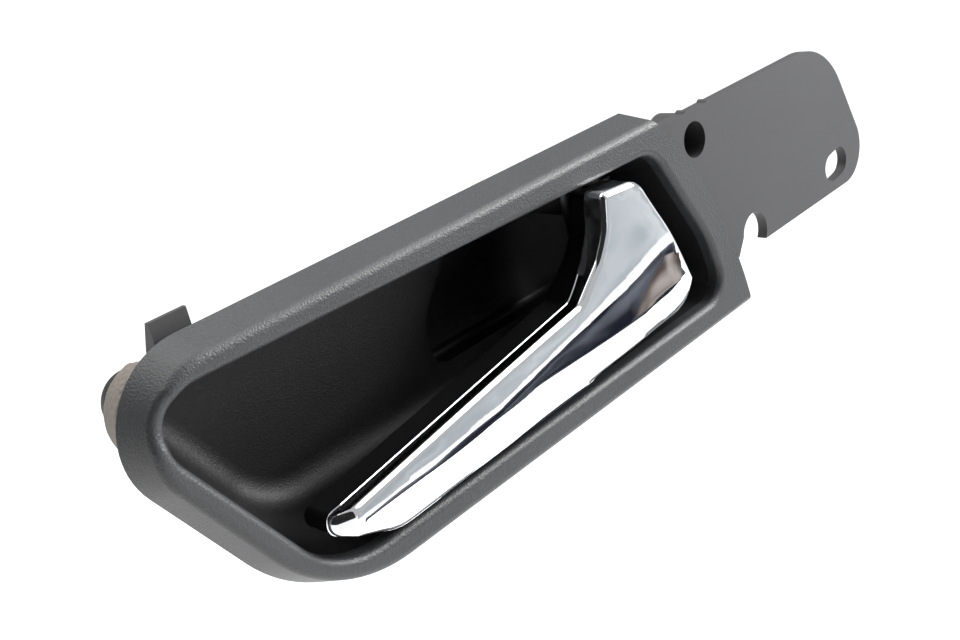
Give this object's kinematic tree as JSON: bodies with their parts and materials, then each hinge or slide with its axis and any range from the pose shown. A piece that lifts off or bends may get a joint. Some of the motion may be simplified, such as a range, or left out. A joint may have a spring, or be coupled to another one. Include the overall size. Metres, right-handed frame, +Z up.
{
  "type": "inner car door handle",
  "caption": "Inner car door handle: charcoal cover with a black finger bowl, a chromed pull lever on a hinge pin, and a long fixing tab.",
  "frame": {"origin": "centre of the tab's round bore on the tab's front face", "axes": "+Z up as fitted in the door, -Y out of the door towards the user, +X along the handle from the finger bowl to the tab's end"},
  "size_m": [0.2398, 0.0552, 0.0645],
  "materials": {
    "cover_plastic": "fine grain, charcoal grey",
    "bowl_plastic": "fine grain, black",
    "chrome": "bright chrome plate",
    "steel": "zinc-plated steel",
    "nylon": "natural nylon",
    "rubber": "black rubber",
    "felt": "warm light-grey felt foam"
  },
  "bodies": {
    "housing": {"bezel_cover": "cover_plastic", "mounting_frame": "cover_plastic", "finger_bowl": "bowl_plastic", "anti_rattle_pad": "felt", "pivot_pin": "steel", "pin_washer": "steel", "pivot_clip": "steel", "return_spring": "steel", "rest_bumper": "rubber", "open_bumper": "rubber", "conduit_bracket": "steel", "bracket_screws": "steel", "cover_screws": "steel"},
    "lever": {"lever_skin": "chrome", "lever_carrier": "bowl_plastic", "skin_screws": "steel", "pivot_bush_upper": "nylon", "pivot_bush_lower": "nylon"},
    "cable_socket": {"cable_socket": "nylon"}
  },
  "joints": [
    {"name": "lever_pull", "type": "hinge", "parent": "housing", "child": "lever", "pos_m": [-0.0337, 0.0078, -0.0094], "axis": [0, 0, 1], "range_deg": [0, 30], "stiffness_Nm_per_rad": 0.15, "springref_deg": -20.05, "deforming": ["return_spring"]},
    {"name": "socket_swivel", "type": "hinge", "parent": "lever", "child": "cable_socket", "pos_m": [-0.0337, 0.0388, -0.0042], "axis": [0, 0, 1], "range_deg": [-30, 0]}
  ],
  "couplings": [
    {"joint": "socket_swivel", "follows": "lever_pull", "ratio": -1}
  ]
}
